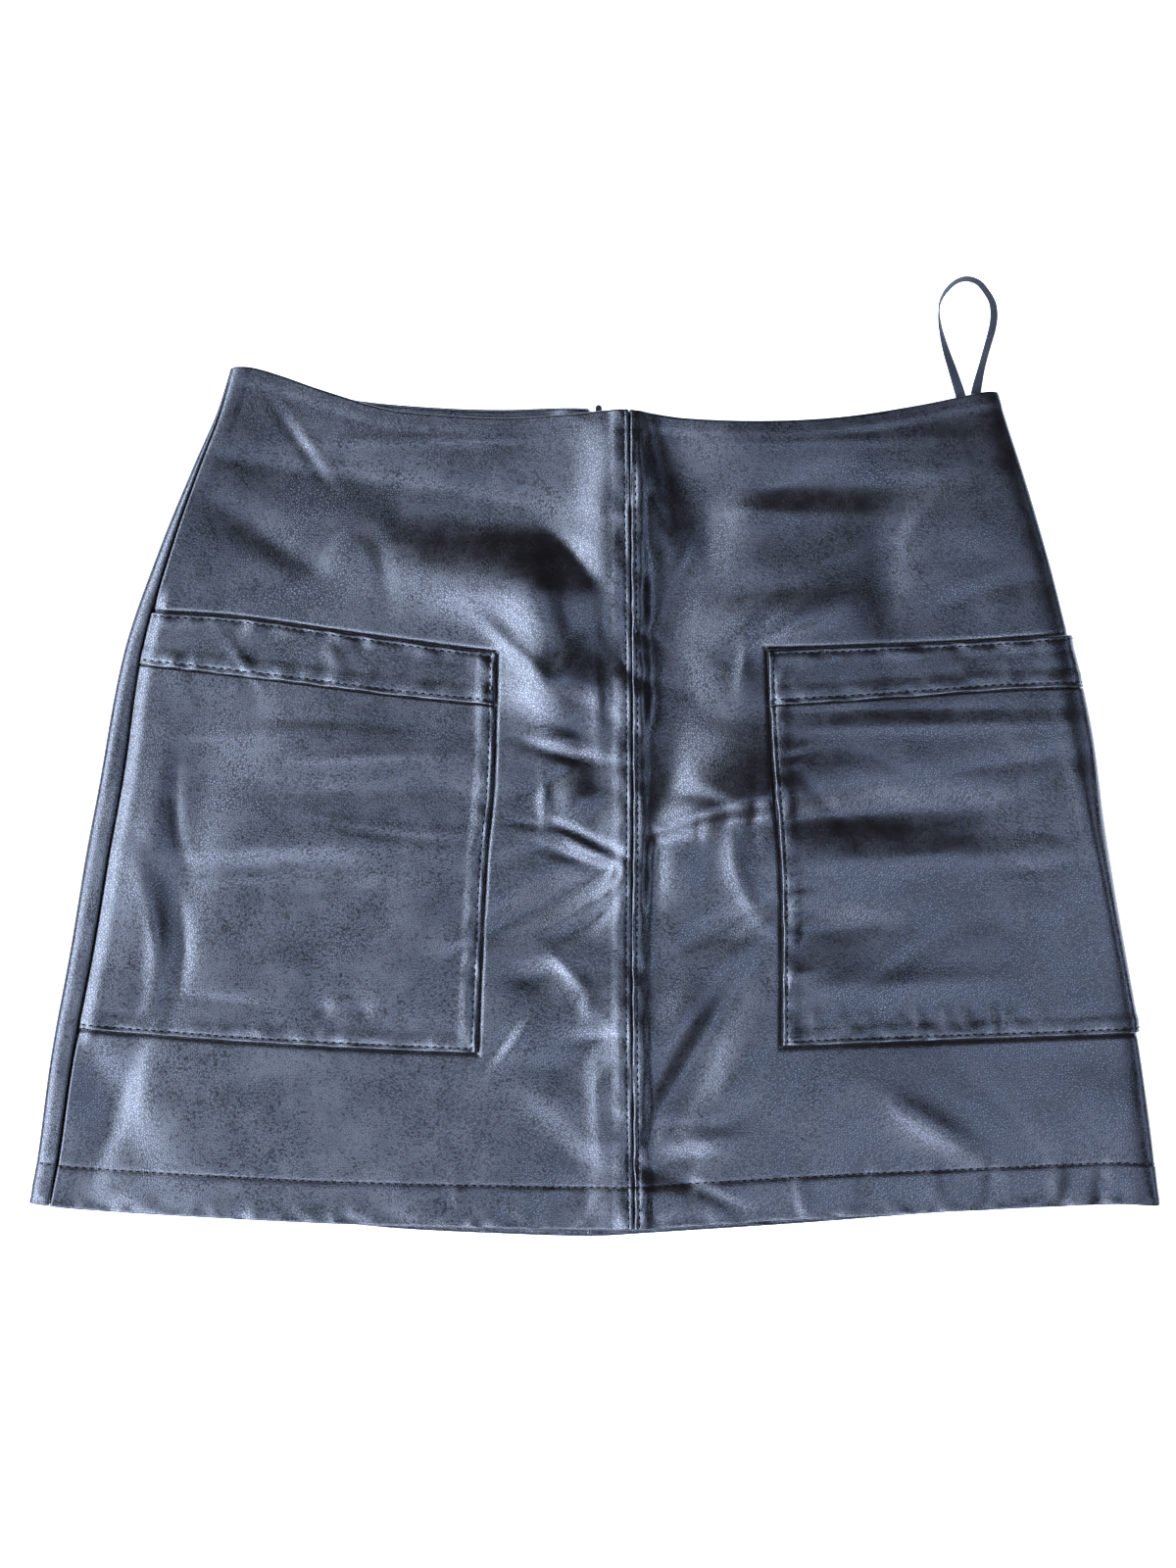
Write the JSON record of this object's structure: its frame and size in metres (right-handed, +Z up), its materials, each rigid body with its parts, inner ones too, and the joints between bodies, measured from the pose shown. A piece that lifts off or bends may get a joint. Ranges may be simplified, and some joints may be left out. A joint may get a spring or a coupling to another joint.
{
  "type": "leather mini skirt",
  "caption": "Flat-laid leather mini skirt with a centre-front seam, two banded patch pockets, a centre-back zip and a ribbon hanging loop at the waist.",
  "frame": {"origin": "on the surface the skirt lies on, under the middle of its whole outline, hanging loop included", "axes": "+X across the front to the viewer's right, +Y from the hem to the waist, +Z up from the surface through the front"},
  "size_m": [0.5504, 0.4683, 0.0097],
  "materials": {
    "leather": "semi-gloss black lambskin with a fine grain",
    "zip_cloth": "woven black zip tape and coil",
    "zip_metal": "black enamelled metal",
    "ribbon": "ribbed black grosgrain"
  },
  "bodies": {
    "skirt": {"front_left": "leather", "front_right": "leather", "back_left": "leather", "back_right": "leather", "pocket_left": "leather", "pocket_left_band": "leather", "pocket_right": "leather", "pocket_right_band": "leather", "back_facing_left": "leather", "back_facing_right": "leather", "zip_tape_left": "zip_cloth", "zip_tape_right": "zip_cloth", "zip_chain": "zip_cloth", "zip_slider": "zip_metal", "hanger_loop": "ribbon"},
    "pull_tab": {"zip_pull_tab": "zip_metal"}
  },
  "joints": [
    {"name": "pull_tab_hinge", "type": "hinge", "parent": "skirt", "child": "pull_tab", "pos_m": [0.0023, 0.162, 0.001], "axis": [-1, 0, 0], "range_deg": [0, 180]}
  ]
}
